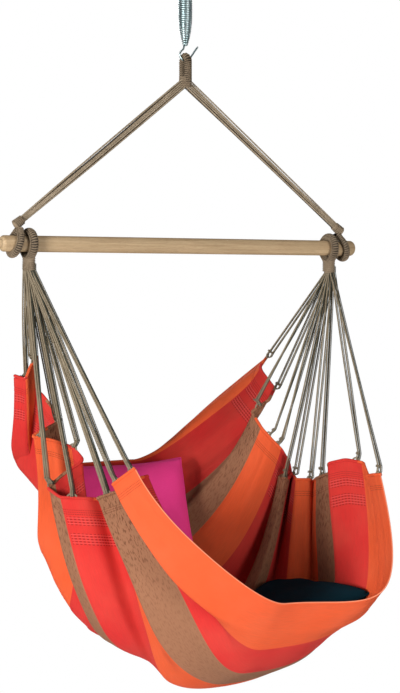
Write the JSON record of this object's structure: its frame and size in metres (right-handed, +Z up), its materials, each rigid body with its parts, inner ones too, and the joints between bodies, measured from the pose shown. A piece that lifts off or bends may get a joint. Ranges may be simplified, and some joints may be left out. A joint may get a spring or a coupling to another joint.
{
  "type": "hammock chair",
  "caption": "Hanging hammock chair: a striped cloth sling on cotton clew cords under a wooden spreader bar, with a rope loop, a steel spring and loose cushions.",
  "frame": {"origin": "centre of the spring's upper eye, which hangs on the fixed hook", "axes": "+Z up, +X along the spreader bar to the chair's right in the picture, -Y to the front, where the sitter's legs come out"},
  "size_m": [1.1, 0.8106, 1.9027],
  "materials": {
    "spring_steel": "satin",
    "cotton_rope": "matte",
    "bar_wood": "satin",
    "sling_cloth": "matte",
    "dark_cushion": "matte",
    "pink_cushion": "matte"
  },
  "bodies": {
    "spring": {"spring_top_eye": "spring_steel", "spring_coil": "spring_steel"},
    "hook": {"spring_hook": "spring_steel"},
    "hanger": {"top_loop": "cotton_rope", "strand_left_1": "cotton_rope", "strand_left_2": "cotton_rope", "strand_left_3": "cotton_rope", "strand_left_4": "cotton_rope", "strand_left_5": "cotton_rope", "strand_left_6": "cotton_rope", "strand_left_7": "cotton_rope", "strand_left_8": "cotton_rope", "strand_right_1": "cotton_rope", "strand_right_2": "cotton_rope", "strand_right_3": "cotton_rope", "strand_right_4": "cotton_rope", "strand_right_5": "cotton_rope", "strand_right_6": "cotton_rope", "strand_right_7": "cotton_rope", "strand_right_8": "cotton_rope", "suspension_eye_left": "cotton_rope", "suspension_eye_right": "cotton_rope"},
    "bar": {"spreader_bar": "bar_wood"},
    "seat": {"clew_eye_left": "cotton_rope", "clew_eye_right": "cotton_rope", "clew_whipping_left": "cotton_rope", "clew_whipping_right": "cotton_rope", "clew_cord_left_1": "cotton_rope", "clew_cord_left_2": "cotton_rope", "clew_cord_left_3": "cotton_rope", "clew_cord_left_4": "cotton_rope", "clew_cord_left_5": "cotton_rope", "clew_cord_left_6": "cotton_rope", "clew_cord_left_7": "cotton_rope", "clew_cord_left_8": "cotton_rope", "clew_cord_left_9": "cotton_rope", "clew_cord_left_10": "cotton_rope", "clew_cord_left_11": "cotton_rope", "clew_cord_right_1": "cotton_rope", "clew_cord_right_2": "cotton_rope", "clew_cord_right_3": "cotton_rope", "clew_cord_right_4": "cotton_rope", "clew_cord_right_5": "cotton_rope", "clew_cord_right_6": "cotton_rope", "clew_cord_right_7": "cotton_rope", "clew_cord_right_8": "cotton_rope", "clew_cord_right_9": "cotton_rope", "clew_cord_right_10": "cotton_rope", "clew_cord_right_11": "cotton_rope", "hem_cord_left": "cotton_rope", "hem_cord_right": "cotton_rope", "sling": "sling_cloth"},
    "seat_cushion": {"seat_cushion": "dark_cushion"},
    "back_cushion": {"back_cushion": "pink_cushion"}
  },
  "joints": [
    {"name": "spring_stretch", "type": "slide", "parent": "spring", "child": "hook", "axis": [0, 0, -1], "range_m": [0, 0.07], "stiffness_N_per_m": 9500, "springref_m": -0.005, "deforming": ["spring_coil"]},
    {"name": "hanger_swing", "type": "hinge", "parent": "hook", "child": "hanger", "pos_m": [0, 0, -0.254], "axis": [1, 0, 0], "range_deg": [-30, 30]},
    {"name": "bar_roll", "type": "hinge", "parent": "hanger", "child": "bar", "pos_m": [0, 0, -0.74], "axis": [1, 0, 0], "continuous": true},
    {"name": "seat_swing", "type": "hinge", "parent": "hanger", "child": "seat", "pos_m": [0, 0, -0.74], "axis": [1, 0, 0], "range_deg": [-30, 30]},
    {"name": "seat_cushion_lift", "type": "slide", "parent": "seat", "child": "seat_cushion", "axis": [0, -0.3, 0.9539], "range_m": [0, 0.25]},
    {"name": "back_cushion_lift", "type": "slide", "parent": "seat", "child": "back_cushion", "axis": [0, -0.4, 0.9165], "range_m": [0, 0.3]}
  ]
}
